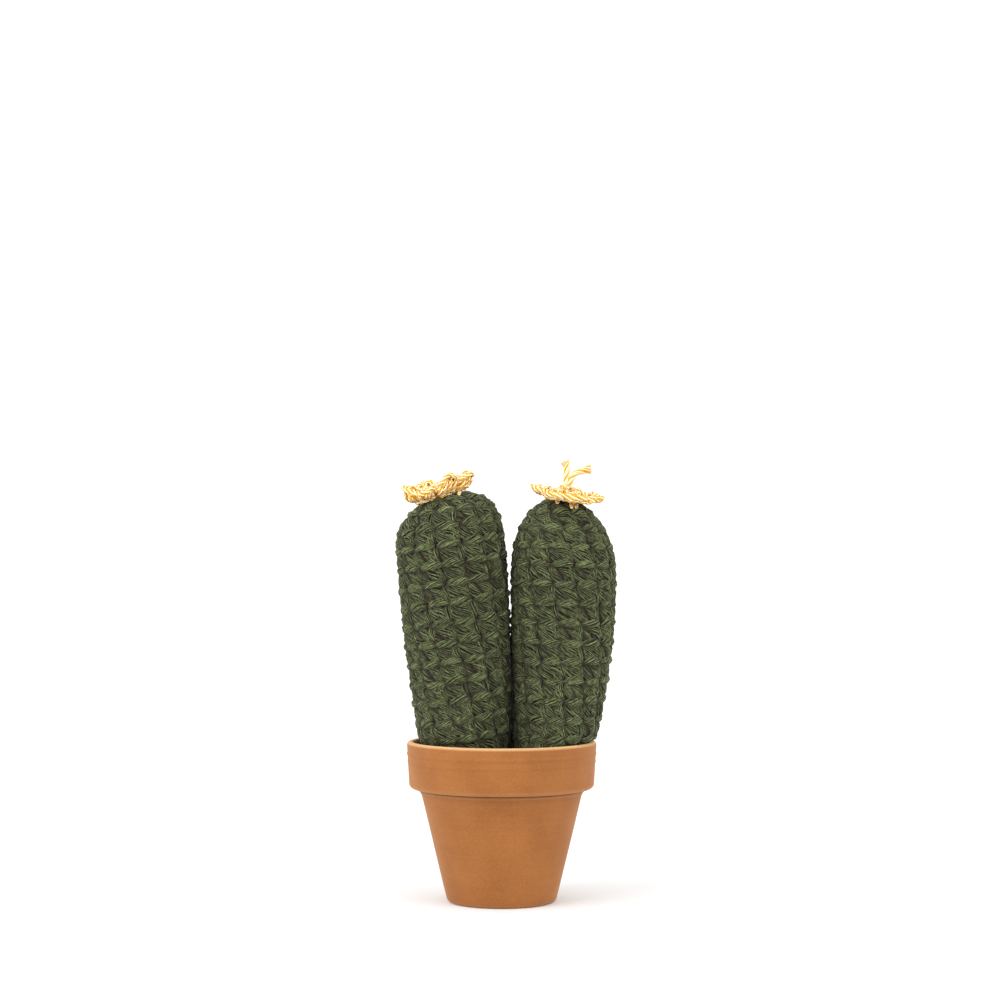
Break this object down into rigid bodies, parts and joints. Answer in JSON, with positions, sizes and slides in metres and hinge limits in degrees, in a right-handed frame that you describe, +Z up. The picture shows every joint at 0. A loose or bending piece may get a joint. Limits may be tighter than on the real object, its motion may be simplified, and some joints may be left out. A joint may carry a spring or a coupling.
{
  "type": "crocheted cactus in terracotta pot",
  "caption": "Stuffed crocheted cactus: two green cotton stems side by side in a clay pot, each topped with a yellow crocheted flower.",
  "frame": {"origin": "bottom centre of the whole object's box, on the surface it stands on, 2 mm to the right of the pot's axis", "axes": "+Z up along the pot's axis, -Y towards the viewer in the picture, +X to the picture's right"},
  "size_m": [0.0923, 0.08, 0.1856],
  "materials": {
    "terracotta": "matte",
    "green_cotton": "matte",
    "yellow_cotton": "matte",
    "fibrefill": "matte",
    "pot_filling": "matte"
  },
  "bodies": {
    "root": {"pot": "terracotta", "pot_filling": "pot_filling", "left_stem_cover": "green_cotton", "left_stem_stuffing": "fibrefill", "right_stem_cover": "green_cotton", "right_stem_stuffing": "fibrefill", "left_flower": "yellow_cotton", "right_flower": "yellow_cotton", "right_flower_tie_yarn": "yellow_cotton"}
  },
  "joints": []
}
